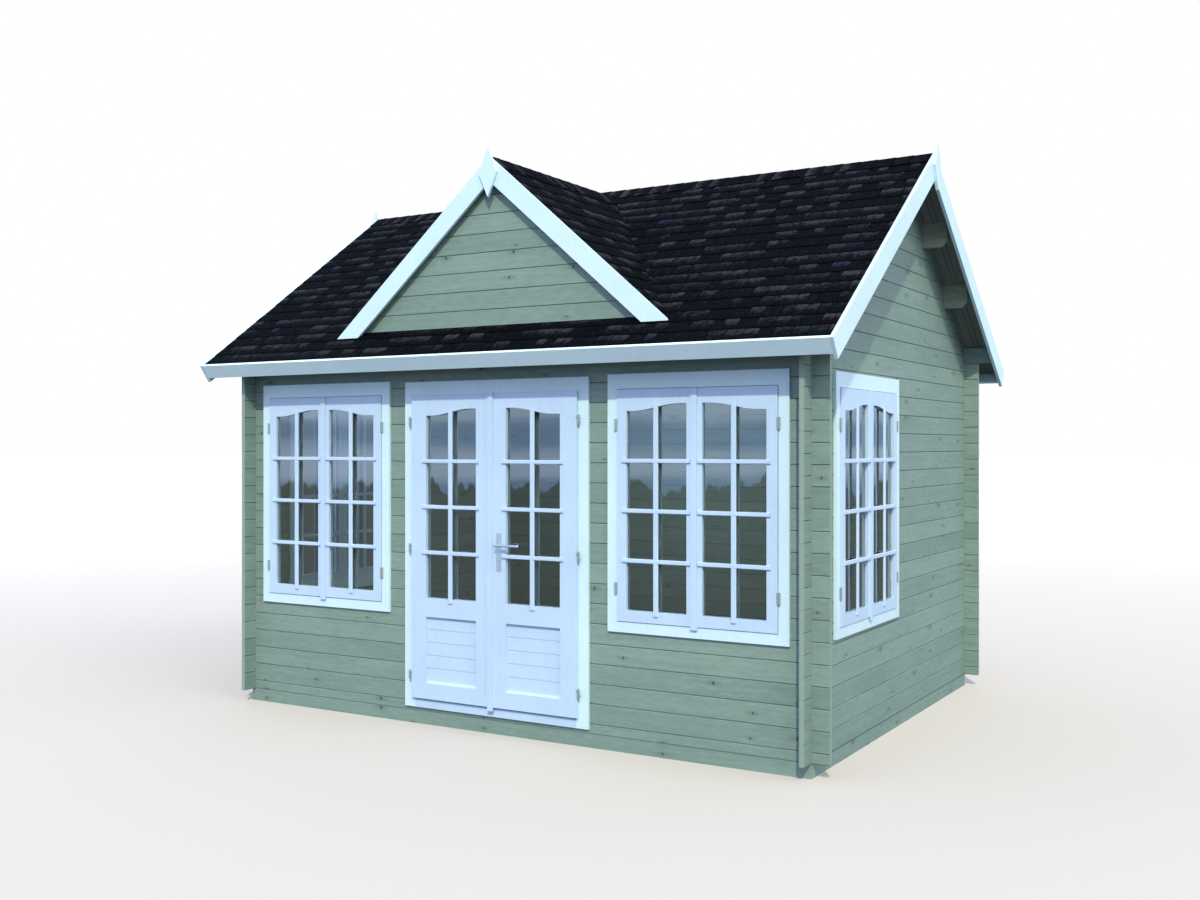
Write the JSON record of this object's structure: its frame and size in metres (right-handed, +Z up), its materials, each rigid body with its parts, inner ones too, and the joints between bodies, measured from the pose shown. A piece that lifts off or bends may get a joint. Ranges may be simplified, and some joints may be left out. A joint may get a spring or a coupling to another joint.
{
  "type": "garden shed",
  "caption": "Log-built garden shed with a shingled pitched roof, a front dormer gable, paned windows and a glazed double door that swings outward.",
  "frame": {"origin": "on the ground in the middle of the footprint", "axes": "+X to the right along the front wall, the front faces -Y, +Z up"},
  "size_m": [4.466, 3.53, 3.5601],
  "materials": {
    "log_paint": "translucent grey-green stain on spruce logs",
    "trim_paint": "white paint",
    "leaf_paint": "white paint",
    "roof_wood": "stained boards",
    "floor_wood": "bare boards",
    "shingle": "mineral-surfaced bitumen",
    "glass": "clear",
    "metal": "satin"
  },
  "bodies": {
    "house": {"base_beams": "log_paint", "floor_bearers": "log_paint", "floor_boards": "floor_wood", "front_sill_log": "log_paint", "front_wall_left": "log_paint", "front_wall_right": "log_paint", "front_wall_head": "log_paint", "back_wall": "log_paint", "left_wall": "log_paint", "right_wall": "log_paint", "eave_logs": "log_paint", "purlins": "roof_wood", "roof_boards_front": "roof_wood", "roof_boards_back": "roof_wood", "shingles_front": "shingle", "shingles_back": "shingle", "fascias": "trim_paint", "barge_left_front": "trim_paint", "barge_left_back": "trim_paint", "barge_right_front": "trim_paint", "barge_right_back": "trim_paint", "gable_finials": "trim_paint", "dormer_wall": "log_paint", "dormer_boards_left": "roof_wood", "dormer_boards_right": "roof_wood", "dormer_shingles": "shingle", "dormer_barge_left": "trim_paint", "dormer_barge_right": "trim_paint", "dormer_finial": "trim_paint", "front_window_casings": "trim_paint", "front_window_sashes": "leaf_paint", "front_window_glass": "glass", "gable_window_casings": "trim_paint", "gable_window_sashes": "leaf_paint", "gable_window_glass": "glass", "window_cover_strips": "leaf_paint", "window_hinges": "metal", "door_casing": "trim_paint", "door_sill": "trim_paint", "hinge_pins": "metal"},
    "left_leaf": {"door_leaf_left": "leaf_paint", "door_glass_left": "glass", "hinge_knuckles_left": "metal"},
    "right_leaf": {"door_leaf_right": "leaf_paint", "door_glass_right": "glass", "door_cover_strip": "leaf_paint", "handle_plates": "metal", "hinge_knuckles_right": "metal"},
    "lever": {"handle_lever": "metal"}
  },
  "joints": [
    {"name": "left_door_swing", "type": "hinge", "parent": "house", "child": "left_leaf", "pos_m": [-0.612, -1.536, 1.086], "axis": [0, 0, -1], "range_deg": [0, 110]},
    {"name": "right_door_swing", "type": "hinge", "parent": "house", "child": "right_leaf", "pos_m": [0.612, -1.536, 1.086], "axis": [0, 0, 1], "range_deg": [0, 110]},
    {"name": "handle_turn", "type": "hinge", "parent": "right_leaf", "child": "lever", "pos_m": [0.06, -1.51, 1.13], "axis": [0, 1, 0], "range_deg": [0, 40], "stiffness_Nm_per_rad": 1.2, "springref_deg": -28.65}
  ]
}
